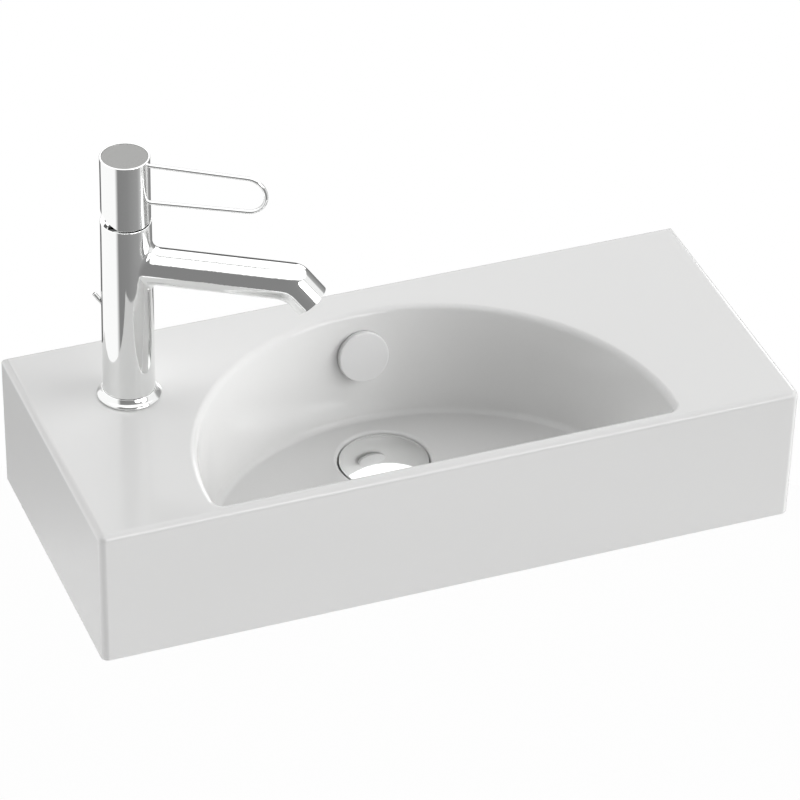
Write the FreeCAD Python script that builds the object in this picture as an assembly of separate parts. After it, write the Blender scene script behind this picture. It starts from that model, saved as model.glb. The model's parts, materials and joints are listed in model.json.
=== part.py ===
import FreeCAD, Part
import math
import os

# Wall hung basin with a single-lever mixer on its left and a pop-up waste.
# Lengths are in millimetres and angles in degrees.
# +X runs along the wall to the right, +Y points into the wall, +Z is up.
# The origin lies on the wall face, midway between the two fixing holes.

Vec = FreeCAD.Vector
ORIGIN = Vec(0, 0, 0)
X_AXIS = Vec(1, 0, 0)
Y_AXIS = Vec(0, 1, 0)
Z_AXIS = Vec(0, 0, 1)

# ---- ceramic basin ----
basin_width = 500.0
basin_projection = 220.0
basin_height = 103.0
front_draft = 2.0            # how far the front face falls back at its foot
side_draft = 1.0             # the same for each side face
edge_radius = 5.0            # front corners and the top edges
deck_thickness = 11.0
apron_thickness = 10.0
rear_thickness = 12.0
bowl_shell = 9.0

# ---- bowl ----
bowl_front_rim = 10.5        # front face to the bowl's front edge
bowl_back_margin = 30.0      # wall to the bowl's rear edge
bowl_offset = -1.8           # bowl's middle from the middle of the basin
bowl_square_length = 15.3    # bowl's front edge to the centre of its arc
bowl_back_draft = 13.5       # how far the rear wall comes forward by the draft depth
bowl_side_draft = 1.0        # the same for each side
bowl_front_draft = 6.5       # the same for the front wall
bowl_draft_depth = 80.0
bowl_corner_radius = 6.3
bowl_rim_radius = 5.5
rim_land = 0.3               # flat left between the rim's two roundings in front
bowl_foot_radius = 5.6
bowl_floor_depth = 82.3      # deck to the floor at the edge of the waste recess
bowl_floor_fall = 0.05       # fall of the floor towards the waste, per unit

# ---- wall fixing ----
fixing_spacing = 280.0
fixing_drop = 45.0           # deck to the holes' axis
fixing_hole_radius = 7.5

# ---- overflow ----
overflow_depth = 32.0        # deck to the overflow hole's centre
overflow_lean = 14.0         # how far the hole's axis points up from level
overflow_hole_radius = 12.5
duct_width = 28.0
duct_depth = 13.0
duct_height = 6.0            # height of the passage under the floor
duct_floor = 3.5             # ceramic left under the passage
duct_side_wall = 8.0
cover_radius = 18.2
cover_thickness = 4.5
cover_gap = 2.3              # open gap behind the cover, where water enters
cover_edge_radius = 1.0
spigot_radius = 5.0
insert_wall = 2.0
insert_length = 8.0
insert_spoke = 2.0

# ---- waste: fixed pieces ----
waste_back = 92.4            # wall to the waste's axis
waste_offset = -3.6          # waste's axis from the middle of the basin
waste_hole_radius = 23.0
recess_slope = 0.8           # how much wider the recess is at the floor than at its seat
recess_clearance = 0.6
recess_lip_radius = 3.0
flange_radius = 31.5
flange_thickness = 1.7
flange_seat_radius = 22.5    # top of the cone that the seal closes on
neck_radius = 21.0
neck_wall = 2.5
neck_length = 47.0
gasket_thickness = 1.5
overflow_window = 12.0
lower_seal_radius = 29.0
lower_seal_height = 6.0
lower_seal_lip = 2.0         # lip that centres the seal in the ceramic hole
washer_radius = 30.0
washer_thickness = 1.5
locknut_flats = 54.0
locknut_height = 8.0
waste_body_gap = 1.5         # locknut to the lower body
waste_body_wall = 3.0
waste_body_length = 46.0
socket_depth = 13.0
reducer_height = 8.0
tail_socket = 9.0
tail_pipe_radius = 16.0
tail_pipe_wall = 1.5
tail_pipe_length = 30.0
tail_thread_depth = 0.6      # how much slimmer the pipe's threaded end is
tail_shoulder_gap = 1.0        # lower body to the pipe's full width

# ---- waste: pop-up plug and its linkage ----
cap_radius = 31.5
cap_rise = 4.6               # height of the dome above its rim
cap_rim = 1.6
cap_wall = 1.8
cap_gap = 1.3                # open line between the cap and the flange
seal_wire_radius = 1.3
seal_clearance = 0.35
fin_thickness = 2.4
fin_length = 30.0
fin_clearance = 0.6
hub_radius = 5.0
stem_radius = 3.0
stem_eye_radius = 6.5
stem_eye_thickness = 5.0
stem_nut_flats = 10.0
stem_nut_height = 4.0
plug_lift = 6.5
lever_rod_radius = 2.5
lever_tip = 6.0              # how far the rod reaches past the stem's eye
lever_end = 8.0              # how far it reaches past the strap
ball_radius = 5.5
ball_reach = 34.0            # waste axis to the ball's centre
port_drop = 28.0             # top of the lower body to the ball's axis
port_radius = 10.0
port_bore_radius = 6.0
port_pocket_radius = 7.6
ball_nut_wall = 2.5
ball_nut_front = 4.0
seat_length = 6.3
strap_offset = 7.0           # lift rod to the strap
strap_thickness = 1.5
strap_width = 10.0
strap_pitch = 9.0
strap_holes = 4
clip_radius = 5.0
clip_thickness = 1.0
clip_gap = 1.5               # lets the rod tilt between strap and clips
clamp_height = 12.0
clamp_width = 12.0
clamp_behind = 6.0
clamp_screw_radius = 2.5
clamp_head_radius = 7.0
clamp_head_length = 4.0

# ---- mixer: body and spout (heights above the deck) ----
tap_inset = 69.5             # left end of the basin to the mixer's axis
tap_back = 69.0              # wall to the mixer's axis
tap_turn = -31.0             # direction of the spout in plan
tap_hole_radius = 17.5
body_foot_radius = 18.0
body_top_radius = 17.15
body_over_spout = 33.9       # spout's middle line to the body's top
foot_seal_thickness = 1.5
foot_seal_inner_radius = 15.0
foot_plate = 8.0
cavity_radius = 14.5
cavity_below_spout = 23.2    # spout's middle line to the cavity's roof
cartridge_bore_radius = 14.0
cartridge_bore_depth = 27.6
spout_radius = 12.75
spout_bore_radius = 8.5
spout_height = 105.7
spout_reach = 113.0          # mixer's axis to the corner of the spout's middle line
spout_bend_radius = 13.5     # the same for every line along the tube
spout_bend_angle = 48.0
spout_nose = 17.9            # that corner to the mouth
spout_fillet = 6.0
spout_feed_radius = 4.5
ring_foot_radius = 22.0
ring_foot_height = 1.6
ring_top_radius = 18.7
ring_height = 6.5
ring_clearance = 0.15
hose_offset_side = 8.0
hose_offset_back = 2.0
hose_slot_front = 3.5        # mixer's axis to the edges of the slot in the foot plate
hose_slot_back = 6.0
hose_slot_half = 13.0
inlet_radius = 4.0
inlet_depth = 12.0
channel_radius = 2.3
channel_offset = 7.2
outlet_radius = 3.0
outlet_offset = 5.5
stud_offset = 10.5
stud_radius = 4.0
stud_length = 60.0
mount_disc_radius = 25.0
mount_gasket_thickness = 3.0
mount_plate_thickness = 2.5
mount_slot_width = 27.2
mount_slot_edge = 3.8
stud_nut_flats = 13.0
stud_nut_height = 12.0

# ---- mixer: aerator ----
aerator_radius = 10.9
aerator_wall = 1.9
aerator_length = 9.0
aerator_set_back = 0.8
aerator_seal_thickness = 1.5
aerator_insert_length = 6.0

# ---- mixer: cartridge ----
cartridge_seal_thickness = 1.2
cartridge_seal_radius = 11.0
housing_radius = 13.8
housing_wall = 2.0
housing_floor = 3.0
housing_height = 17.8
disc_radius = 10.0
disc_thickness = 3.0
moving_disc_radius = 9.0
carrier_thickness = 3.0
carrier_socket_radius = 3.1
turret_gap = 0.4             # carrier to the turret
turret_flange = 5.2
turret_neck_radius = 9.1
turret_neck_height = 7.7
turret_slot_width = 8.2
turret_slot_length = 14.0
nut_ring_height = 6.5
nut_ring_notch = 3.0
pivot_drop = 3.55            # top of the turret to the lever's pivot
pivot_pin_radius = 1.5
spindle_width = 7.8
spindle_length = 41.0        # pivot to the spindle's top
spindle_arm = 11.0           # pivot to the ball at the spindle's foot
spindle_foot_radius = 2.2
spindle_ball_radius = 2.7

# ---- mixer: head and loop ----
head_radius = 16.75
head_height = 48.8
head_gap = 0.8               # body to head
head_cavity_radius = 13.5
head_cavity_height = 9.6
head_edge_radius = 0.5
head_relief_angle = 27.5     # the rear half of the rim is cut back for the tilt
head_tilt = 22.0
head_cap_radius = 15.6
head_cap_thickness = 1.5
head_cap_sink = 0.2
grub_height = 24.0           # head's foot to the grub screw
grub_radius = 2.5
grub_length = 9.0
grub_socket_radius = 1.4
loop_wire_radius = 1.4
loop_half_gap = 12.8         # middle line to each wire's axis at the round end
loop_taper = 1.34            # opening of each wire towards the head
loop_reach = 96.0            # mixer's axis to the outside of the round end
loop_below_top = 19.7        # top of the head to the loop's middle line
loop_root = 8.0              # mixer's axis to the wires' ends inside the head

# ---- lift rod ----
lift_rod_radius = 2.0
lift_rod_back = 9.5          # mixer's axis to the rod's axis
lift_head_radius = 3.2
lift_head_length = 12.0
pull_pin_radius = 1.5
pull_pin_angle = 50.0
pull_pin_drop = 34.2         # spout's middle line to where the pin leaves the body
pull_pin_out = 8.4           # length that shows
pull_slot_clearance = 0.4

# ---- clearances ----
fit = 0.05                   # screwed, pushed-in and running fits, on the radius
slack = 0.2                  # loose fits, on the radius
rod_guide_fit = 0.08         # lift rod in its guide, on the radius
reach_over = 5.0             # how far a cutting tool runs past the face it cuts

# ---- places that follow from the sizes above ----
deck = fixing_drop
basin_foot = deck - basin_height
bowl_front = -(basin_projection - bowl_front_rim)
bowl_centre = bowl_front + bowl_square_length
bowl_radius = -bowl_centre - bowl_back_margin
back_angle = math.degrees(math.atan2(bowl_back_draft, bowl_draft_depth))
side_angle = math.degrees(math.atan2(bowl_side_draft, bowl_draft_depth))
bowl_tilt = back_angle - side_angle
tilt_stretch = (math.cos(math.radians(bowl_tilt))
                + math.sin(math.radians(bowl_tilt)) * math.tan(math.radians(back_angle)))
bowl_axis = -bowl_back_margin - bowl_radius * tilt_stretch
rim_radius = min(bowl_rim_radius, bowl_front_rim - edge_radius - rim_land)
waste_place = Vec(waste_offset, -waste_back, deck)
tap_place = Vec(tap_inset - basin_width / 2, -tap_back, deck)

# heights inside the waste, measured from the deck
flange_top = -(bowl_floor_depth + flange_thickness + cap_gap + 1.0)
flange_foot = flange_top - flange_thickness
recess_seat = flange_foot - gasket_thickness
neck_foot = flange_foot - neck_length
seal_foot = -basin_height - lower_seal_height
washer_foot = seal_foot - washer_thickness
locknut_foot = washer_foot - locknut_height
waste_body_top = locknut_foot - waste_body_gap
port_axis = waste_body_top - port_drop
waste_body_foot = waste_body_top - waste_body_length
tail_thread_radius = tail_pipe_radius - tail_thread_depth
tail_top = waste_body_foot + tail_socket - fit
tail_shoulder = waste_body_foot - tail_shoulder_gap
tail_foot = tail_top - tail_pipe_length
neck_bore_radius = neck_radius - neck_wall
waste_body_radius = neck_radius + fit + waste_body_wall
cap_foot = flange_top + cap_gap
recess_radius = flange_radius + recess_clearance

# linkage between the lift rod and the plug
turn = math.radians(tap_turn)
rod_plan = tap_place - Vec(math.cos(turn), math.sin(turn), 0) * lift_rod_back
rod_offset = rod_plan - waste_place
rod_distance = math.hypot(rod_offset.x, rod_offset.y)
lever_turn = math.degrees(math.atan2(rod_offset.y, rod_offset.x))
strap_x = rod_distance - strap_offset
lever_outer = strap_x - ball_reach
lever_swing = math.degrees(plug_lift / ball_reach)
lever_rest = lever_swing / 2
rod_travel = lever_outer * math.radians(lever_swing)
stem_eye_height = port_axis - ball_reach * math.sin(math.radians(lever_rest))
strap_hole_height = port_axis + lever_outer * math.sin(math.radians(lever_rest))
clamp_axis = strap_hole_height + (strap_holes - 1) * strap_pitch

# heights inside the mixer, measured from the deck
body_foot = foot_seal_thickness
body_top = spout_height + body_over_spout
body_height = body_top - body_foot
cavity_height = spout_height - cavity_below_spout
pull_pin_height = spout_height - pull_pin_drop
cartridge_seat = body_top - cartridge_bore_depth
housing_foot = cartridge_seat + cartridge_seal_thickness
housing_top = housing_foot + housing_height
fixed_disc_foot = housing_foot + housing_floor
moving_disc_foot = fixed_disc_foot + disc_thickness + fit
carrier_foot = moving_disc_foot + disc_thickness
turret_foot = carrier_foot + carrier_thickness + turret_gap
neck_start = turret_foot + turret_flange
turret_top = neck_start + turret_neck_height
pivot_height = turret_top - pivot_drop
disc_travel = spindle_arm * math.radians(head_tilt)
head_foot = body_top + head_gap
head_top = head_foot + head_height
loop_middle = head_top - loop_below_top
pin_angle = math.radians(pull_pin_angle)


# ---- drawing helpers ----
def upright(radius, low, high, x=0.0, y=0.0):
    """Vertical cylinder from one height to another."""
    return Part.makeCylinder(radius, high - low, Vec(x, y, low), Z_AXIS)


def lying(radius, start, end, y=0.0, z=0.0):
    """Cylinder along X from one place to another."""
    return Part.makeCylinder(radius, end - start, Vec(start, y, z), X_AXIS)


def ring(outer, inner, low, high):
    """Vertical ring."""
    return upright(outer, low, high).cut(upright(inner, low - 1, high + 1))


def lying_ring(outer, inner, start, end, z=0.0):
    """Ring whose axis runs along X."""
    return lying(outer, start, end, 0, z).cut(lying(inner, start - 1, end + 1, 0, z))


def block(x0, x1, y0, y1, z0, z1):
    """Box between two corners."""
    return Part.makeBox(x1 - x0, y1 - y0, z1 - z0, Vec(x0, y0, z0))


def turned(points):
    """Solid of revolution about Z from an outline of (radius, height) points."""
    corners = [Vec(radius, 0, height) for radius, height in points]
    outline = Part.makePolygon(corners + [corners[0]])
    return Part.Face(outline).revolve(ORIGIN, Z_AXIS, 360)


def hexagon(flats, low, high):
    """Six-sided prism standing on Z."""
    radius = flats / math.sqrt(3)
    corners = []
    for side in range(7):
        angle = math.radians(60 * side)
        corners.append(Vec(radius * math.cos(angle), radius * math.sin(angle), low))
    return Part.Face(Part.makePolygon(corners)).extrude(Vec(0, 0, high - low))


def prism_along_x(points, x0, x1):
    """Prism along X from an outline of (y, z) points."""
    corners = [Vec(x0, y, z) for y, z in points]
    return Part.Face(Part.makePolygon(corners + [corners[0]])).extrude(Vec(x1 - x0, 0, 0))


def prism_along_y(points, half_width):
    """Prism along Y, even about the middle, from an outline of (x, z) points."""
    corners = [Vec(x, -half_width, z) for x, z in points]
    return Part.Face(Part.makePolygon(corners + [corners[0]])).extrude(Vec(0, 2 * half_width, 0))


def at_tap(shape):
    """Move a piece drawn about the mixer's axis, spout along +X, to its place."""
    shape.rotate(ORIGIN, Z_AXIS, tap_turn)
    shape.translate(tap_place)
    return shape


def at_waste(shape):
    """Move a piece drawn about the waste's axis, lever along +X, to its place."""
    shape.rotate(ORIGIN, Z_AXIS, lever_turn)
    shape.translate(waste_place)
    return shape


def at_overflow(shape):
    """Move a piece drawn about +Z to the overflow hole in the bowl's rear wall."""
    share = overflow_depth / bowl_draft_depth
    shape.rotate(ORIGIN, X_AXIS, 90 - overflow_lean)
    shape.translate(Vec(0, -bowl_back_margin - bowl_back_draft * share, deck - overflow_depth))
    return shape


def tilted_lever(shape):
    """Tilt a piece of the lever to its rest angle about the ball."""
    shape.rotate(Vec(ball_reach, 0, port_axis), Y_AXIS, -lever_rest)
    return shape


# ---- basin ----
def outer_block():
    half = basin_width / 2
    foot_half = half - side_draft
    foot_front = -(basin_projection - front_draft)
    top = [Vec(-half, -basin_projection, deck), Vec(half, -basin_projection, deck),
           Vec(half, 0, deck), Vec(-half, 0, deck)]
    foot = [Vec(-foot_half, foot_front, basin_foot), Vec(foot_half, foot_front, basin_foot),
            Vec(foot_half, 0, basin_foot), Vec(-foot_half, 0, basin_foot)]
    outlines = [foot[::-1], top]
    for number in range(4):
        after = (number + 1) % 4
        outlines.append([foot[number], foot[after], top[after], top[number]])
    faces = [Part.Face(Part.makePolygon(corners + [corners[0]])) for corners in outlines]
    solid = Part.Solid(Part.Shell(faces))
    rounded = []
    for edge in solid.Edges:
        box = edge.BoundBox
        front_corner = box.ZLength > basin_height / 2 and box.YMax < foot_front / 2
        if box.ZMin > deck - 1e-3 or front_corner:
            rounded.append(edge)
    return solid.makeFillet(edge_radius, rounded)


def bowl_cone(growth):
    """Leaning cone through the bowl's round wall, grown outwards."""
    radius = bowl_radius + growth
    narrowing = math.tan(math.radians(side_angle))
    rise = basin_height
    fall = 2 * basin_height
    cone = Part.makeCone(
        radius + rise * narrowing, radius - fall * narrowing, rise + fall, Vec(0, 0, rise), -Z_AXIS)
    cone.rotate(ORIGIN, Z_AXIS, 90)
    cone.rotate(ORIGIN, X_AXIS, -bowl_tilt)
    cone.translate(Vec(bowl_offset, bowl_axis, deck))
    return cone


def above_floor(drop):
    """Everything above the gently falling floor, lowered by drop."""
    reach = basin_width
    low = -bowl_floor_depth - drop - bowl_floor_fall * recess_radius
    shape = turned([(0, low), (reach, low + bowl_floor_fall * reach), (reach, reach), (0, reach)])
    shape.translate(waste_place)
    return shape


def bowl_void():
    share = basin_height / bowl_draft_depth
    front_top = bowl_front - bowl_front_draft * reach_over / bowl_draft_depth
    front_foot = bowl_front + bowl_front_draft * share
    behind_front = prism_along_x(
        [(front_top, deck + reach_over), (0, deck + reach_over), (0, basin_foot), (front_foot, basin_foot)],
        -basin_width, basin_width)
    void = bowl_cone(0).common(behind_front).common(above_floor(0))
    corners = [e for e in void.Edges
               if e.BoundBox.ZLength > bowl_draft_depth / 2 and e.BoundBox.YMax < bowl_centre + reach_over]
    void = void.makeFillet(bowl_corner_radius, corners)
    foot = [e for e in void.Edges if e.BoundBox.ZMax < deck - bowl_draft_depth / 2]
    return void.makeFillet(bowl_foot_radius, foot)


def waste_recess():
    """Round recess for the waste, its lip rolled over into the floor."""
    high = -bowl_floor_depth + reach_over
    depth = -bowl_floor_depth - recess_seat
    slope = recess_slope / depth
    shape = turned([
        (0, recess_seat), (recess_radius, recess_seat),
        (recess_radius + slope * (high - recess_seat), high), (0, high)])
    shape.translate(waste_place)
    return shape


def underside_hollow():
    half = basin_width / 2 - apron_thickness
    front = -(basin_projection - apron_thickness)
    below = basin_foot - reach_over
    hollow = block(-half, half, front, -rear_thickness, below, deck - deck_thickness)
    shell = bowl_cone(bowl_shell).common(above_floor(bowl_shell))
    boss = upright(flange_radius + reach_over, -basin_height, 0)
    boss.translate(waste_place)
    rib_half = duct_width / 2 + duct_side_wall
    rib = block(-rib_half, rib_half, -waste_back, -rear_thickness + 1, basin_foot, deck)
    return hollow.cut([shell, boss, rib])


def overflow_duct():
    half = duct_width / 2
    rear = -rear_thickness
    low = basin_foot + duct_floor
    top = deck - overflow_depth + overflow_hole_radius + 1
    shaft = block(-half, half, rear - duct_depth, rear, low, top)
    passage = block(-half, half, -waste_back, rear, low, low + duct_height)
    mouth = at_overflow(upright(overflow_hole_radius, -bowl_back_margin / 2, bowl_shell))
    return shaft.fuse([passage, mouth])


def basin():
    half = fixing_spacing / 2
    holes = []
    for side in (-half, half):
        holes.append(Part.makeCylinder(
            fixing_hole_radius, rear_thickness + 2, Vec(side, -rear_thickness - 1, 0), Y_AXIS))
    tap_hole = upright(tap_hole_radius, -deck_thickness - 1, 1)
    tap_hole.translate(tap_place)
    waste_hole = upright(waste_hole_radius, -basin_height - 1, recess_seat + 1)
    waste_hole.translate(waste_place)
    shape = outer_block().cut(underside_hollow()).cut(bowl_void())
    rim = []
    for edge in shape.Edges:
        box = edge.BoundBox
        inside = box.YMin > bowl_front - 1 and max(-box.XMin, box.XMax) < bowl_radius + edge_radius
        if box.ZMin > deck - 1e-3 and inside and box.YMax < -bowl_back_margin / 2:
            rim.append(edge)
    shape = shape.makeFillet(rim_radius, rim).cut(waste_recess())
    floor = deck - bowl_floor_depth
    lip = []
    for edge in shape.Edges:
        box = edge.BoundBox
        in_floor = box.ZLength < 1 and abs(box.ZMax - floor) < 1 and box.XMax > 0
        if in_floor and box.XMax < recess_radius + recess_slope + 1 and edge.Closed:
            lip.append(edge)
    shape = shape.makeFillet(recess_lip_radius, lip)
    return shape.cut([overflow_duct(), tap_hole, waste_hole] + holes)


# ---- overflow fitting ----
def overflow_cover():
    disc = upright(cover_radius, cover_gap, cover_gap + cover_thickness)
    disc = disc.makeFillet(cover_edge_radius, [e for e in disc.Edges if e.BoundBox.ZLength < 1e-3])
    spigot = upright(spigot_radius, -insert_length, cover_gap + cover_thickness / 2)
    return at_overflow(disc.fuse(spigot))


def overflow_insert():
    outer = overflow_hole_radius - slack
    hub = spigot_radius + fit + insert_wall
    shape = ring(outer, outer - insert_wall, -insert_length - 0.5, -0.5)
    shape = shape.fuse(ring(hub, spigot_radius + fit, -insert_length - 0.5, -0.5))
    for number in range(3):
        spoke = block(hub - insert_wall / 2, outer - insert_wall / 2, -insert_spoke / 2, insert_spoke / 2,
                      -insert_length - 0.5, -0.5)
        spoke.rotate(ORIGIN, Z_AXIS, 90 + 120 * number)
        shape = shape.fuse(spoke)
    return at_overflow(shape)


# ---- waste, fixed pieces ----
def seat_line(height):
    """Radius of the flange's cone seat at a height."""
    return flange_seat_radius - (flange_top - height)


def waste_flange():
    bore = neck_bore_radius
    bevel = flange_thickness / 3
    cone_foot = flange_top - (flange_seat_radius - bore)
    shape = turned([
        (bore, neck_foot), (neck_radius, neck_foot), (neck_radius, flange_foot),
        (flange_radius, flange_foot), (flange_radius, flange_top - bevel),
        (flange_radius - bevel, flange_top), (flange_seat_radius, flange_top), (bore, cone_foot)])
    low = -basin_height + duct_floor
    half = overflow_window / 2
    window = block(-flange_radius, flange_radius, -half, half, low, low + duct_height)
    other = window.copy()
    other.rotate(ORIGIN, Z_AXIS, 90)
    return at_waste(shape.cut([window, other]))


def waste_gasket():
    return at_waste(ring(flange_radius - 1, neck_radius + slack, recess_seat, flange_foot))


def waste_lower_seal():
    inner = neck_radius + slack
    lip = waste_hole_radius - slack
    top = -basin_height
    return at_waste(turned([
        (inner, seal_foot), (lower_seal_radius, seal_foot), (lower_seal_radius, top),
        (lip, top), (lip, top + lower_seal_lip), (inner, top + lower_seal_lip)]))


def waste_washer():
    return at_waste(ring(washer_radius, neck_radius + slack, washer_foot, seal_foot))


def waste_locknut():
    bore = upright(neck_radius + fit, locknut_foot - 1, washer_foot + 1)
    return at_waste(hexagon(locknut_flats, locknut_foot, washer_foot).cut(bore))


def waste_body():
    outer = waste_body_radius
    socket = neck_radius + fit
    bore = neck_bore_radius
    tail = tail_thread_radius + fit
    socket_foot = min(waste_body_top - socket_depth, neck_foot - slack)
    socket_top = waste_body_foot + tail_socket
    reducer_top = socket_top + reducer_height
    shape = turned([
        (socket, waste_body_top), (outer, waste_body_top), (outer, reducer_top),
        (tail + waste_body_wall, socket_top), (tail + waste_body_wall, waste_body_foot),
        (tail, waste_body_foot), (tail, socket_top), (bore, reducer_top),
        (bore, socket_foot), (socket, socket_foot)])
    boss = lying(port_radius, bore + 1, ball_reach + ball_radius - 1.5, 0, port_axis)
    shape = shape.fuse(boss)
    bore_hole = lying(port_bore_radius, 0, ball_reach, 0, port_axis)
    pocket = lying(port_pocket_radius, ball_reach - ball_radius - 1.5, ball_reach + 2 * ball_radius, 0, port_axis)
    inside = upright(bore, reducer_top, socket_foot)
    return at_waste(shape.cut([bore_hole, pocket, inside]))


def ball_space():
    return Part.makeSphere(ball_radius + fit, Vec(ball_reach, 0, port_axis))


def ball_seat():
    start = ball_reach - ball_radius - 1.4
    rod_way = lying(lever_rod_radius + 1.1, start - 1, ball_reach, 0, port_axis)
    body = lying(port_pocket_radius - fit, start, start + seat_length, 0, port_axis)
    return at_waste(body.cut([rod_way, ball_space()]))


def ball_nut():
    outer = port_radius + fit + ball_nut_wall
    boss_end = ball_reach + ball_radius - 1.5
    start = boss_end - 2 * ball_radius
    end = boss_end + ball_nut_front
    body = lying(outer, start, end, 0, port_axis)
    thread = lying(port_radius + fit, start - 1, boss_end + fit, 0, port_axis)
    rod_way = Part.makeCone(
        lever_rod_radius + 1.1, lever_rod_radius + 2, ball_nut_front + 1, Vec(boss_end, 0, port_axis), X_AXIS)
    shape = body.cut([thread, rod_way, ball_space()])
    for number in range(12):
        groove = lying(0.8, start - 1, end + 1, outer, port_axis)
        groove.rotate(Vec(0, 0, port_axis), X_AXIS, 30 * number)
        shape = shape.cut(groove)
    return at_waste(shape)


def tail_pipe():
    """Pipe with a slimmer threaded end, which is screwed into the lower body."""
    inner = tail_pipe_radius - tail_pipe_wall
    thread = ring(tail_thread_radius, inner, tail_shoulder, tail_top)
    return at_waste(ring(tail_pipe_radius, inner, tail_foot, tail_shoulder).fuse(thread))


# ---- plug ----
def dome_outline(radius, rim, rise):
    """Arc from a dome's rim to its top, on the radius and height plane."""
    sphere = (radius * radius + rise * rise) / (2 * rise)
    half = math.asin(radius / sphere) / 2
    between = Vec(sphere * math.sin(half), 0, rim + rise - sphere + sphere * math.cos(half))
    return Part.Arc(Vec(radius, 0, rim), between, Vec(0, 0, rim + rise)).toShape()


def plug_cap():
    rim = cap_foot + cap_rim
    inner = cap_radius - cap_wall
    outer_arc = dome_outline(cap_radius, rim, cap_rise)
    inner_arc = dome_outline(inner, cap_foot + cap_rim / 2, cap_rise - cap_rim / 2)
    apex = Vec(0, 0, rim + cap_rise)
    under = Vec(0, 0, cap_foot + cap_rise)
    wire = Part.Wire([
        outer_arc,
        Part.LineSegment(apex, under).toShape(),
        inner_arc,
        Part.LineSegment(Vec(inner, 0, cap_foot + cap_rim / 2), Vec(inner, 0, cap_foot)).toShape(),
        Part.LineSegment(Vec(inner, 0, cap_foot), Vec(cap_radius, 0, cap_foot)).toShape(),
        Part.LineSegment(Vec(cap_radius, 0, cap_foot), Vec(cap_radius, 0, rim)).toShape()])
    dome = Part.Face(wire).revolve(ORIGIN, Z_AXIS, 360)
    rim_edges = [e for e in dome.Edges
                 if abs(e.BoundBox.ZMax - rim) < 1e-3 and e.BoundBox.XMax > inner and e.BoundBox.ZLength < 1e-3]
    dome = dome.makeFillet(cap_rim / 3, rim_edges)
    boss = upright(hub_radius + 1, cap_foot, cap_foot + cap_rise + 0.5)
    boss = boss.cut(upright(stem_radius + fit, cap_foot - 1, cap_foot + cap_rise - 1))
    return at_waste(dome.fuse(boss))


def seal_place():
    """Radius and height of the seal ring's middle, just clear of the cone seat."""
    height = flange_top - seal_wire_radius / 2
    reach = math.sqrt(2) * (seal_wire_radius + seal_clearance)
    return seat_line(height) - reach, height


def seal_ring():
    radius, height = seal_place()
    return Part.makeTorus(radius, seal_wire_radius, Vec(0, 0, height), Z_AXIS)


def plug_seal():
    return at_waste(seal_ring())


def plug_core():
    radius, height = seal_place()
    top = cap_foot
    foot = height - seal_wire_radius - 0.5
    disc = upright(radius, foot, top).cut(seal_ring())
    fin_radius = neck_bore_radius - fin_clearance
    fin_foot = foot - fin_length
    shape = disc.fuse(upright(hub_radius, fin_foot, top))
    half = fin_thickness / 2
    for angle in (45, 135):
        fin = block(-fin_radius, fin_radius, -half, half, fin_foot, foot + 0.5)
        fin.rotate(ORIGIN, Z_AXIS, angle)
        shape = shape.fuse(fin.common(upright(fin_radius, fin_foot, foot + 0.5)))
    return at_waste(shape.cut(upright(stem_radius + fit, fin_foot - 1, top + 1)))


def stem_nut_top():
    return seal_place()[1] - seal_wire_radius - 0.5 - fin_length - fit


def stem_nut():
    top = stem_nut_top()
    bore = upright(stem_radius + fit, top - stem_nut_height - 1, top + 1)
    return at_waste(hexagon(stem_nut_flats, top - stem_nut_height, top).cut(bore))


def plug_stem():
    half = stem_eye_thickness / 2
    eye = lying(stem_eye_radius, -half, half, 0, stem_eye_height)
    rod = upright(stem_radius, stem_eye_height, cap_foot + cap_rise - 1 - fit)
    way = lying(lever_rod_radius + 1.1, -half - 1, half + 1, 0, stem_eye_height)
    flat = block(-half, half, -stem_eye_radius, stem_eye_radius, stem_eye_height, stem_eye_height + half)
    return at_waste(eye.fuse([flat, rod]).cut([way, lying(lever_rod_radius + 1.1, -20, 20, 0, stem_eye_height)]))


# ---- lever and its link to the lift rod ----
def ball_rod():
    return at_waste(tilted_lever(lying(lever_rod_radius, -lever_tip, strap_x + lever_end, 0, port_axis)))


def pivot_ball():
    ball = Part.makeSphere(ball_radius, Vec(ball_reach, 0, port_axis))
    hole = lying(lever_rod_radius, 0, 2 * ball_reach, 0, port_axis)
    return at_waste(tilted_lever(ball.cut(hole)))


def rod_clips():
    """Two spring rings that keep the strap in place on the lever rod."""
    clear = strap_thickness / 2 + clip_gap
    near = lying_ring(clip_radius, lever_rod_radius, strap_x - clear - clip_thickness, strap_x - clear, port_axis)
    far = lying_ring(clip_radius, lever_rod_radius, strap_x + clear, strap_x + clear + clip_thickness, port_axis)
    return at_waste(tilted_lever(Part.makeCompound([near, far])))


def link_strap():
    half = strap_thickness / 2
    top = clamp_axis + strap_width
    foot = strap_hole_height - strap_width
    strap = block(strap_x - half, strap_x + half, -strap_width / 2, strap_width / 2, foot, top)
    ends = [e for e in strap.Edges if e.BoundBox.XLength > strap_thickness / 2 and e.BoundBox.YLength < 1e-3]
    strap = strap.makeFillet(strap_width / 2.5, ends)
    holes = []
    for number in range(strap_holes):
        height = strap_hole_height + number * strap_pitch
        holes.append(lying(lever_rod_radius + 0.5, strap_x - 2, strap_x + 2, 0, height))
    return at_waste(strap.cut(holes))


def strap_clamp():
    half = clamp_height / 2
    start = strap_x + strap_thickness / 2
    body = block(start, rod_distance + clamp_behind, -clamp_width / 2, clamp_width / 2,
                 clamp_axis - half, clamp_axis + half)
    rod_hole = upright(lift_rod_radius + fit, clamp_axis - clamp_height, clamp_axis + clamp_height, rod_distance)
    screw_hole = lying(clamp_screw_radius + fit, start - 1, rod_distance, 0, clamp_axis)
    return at_waste(body.cut([rod_hole, screw_hole]))


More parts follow.
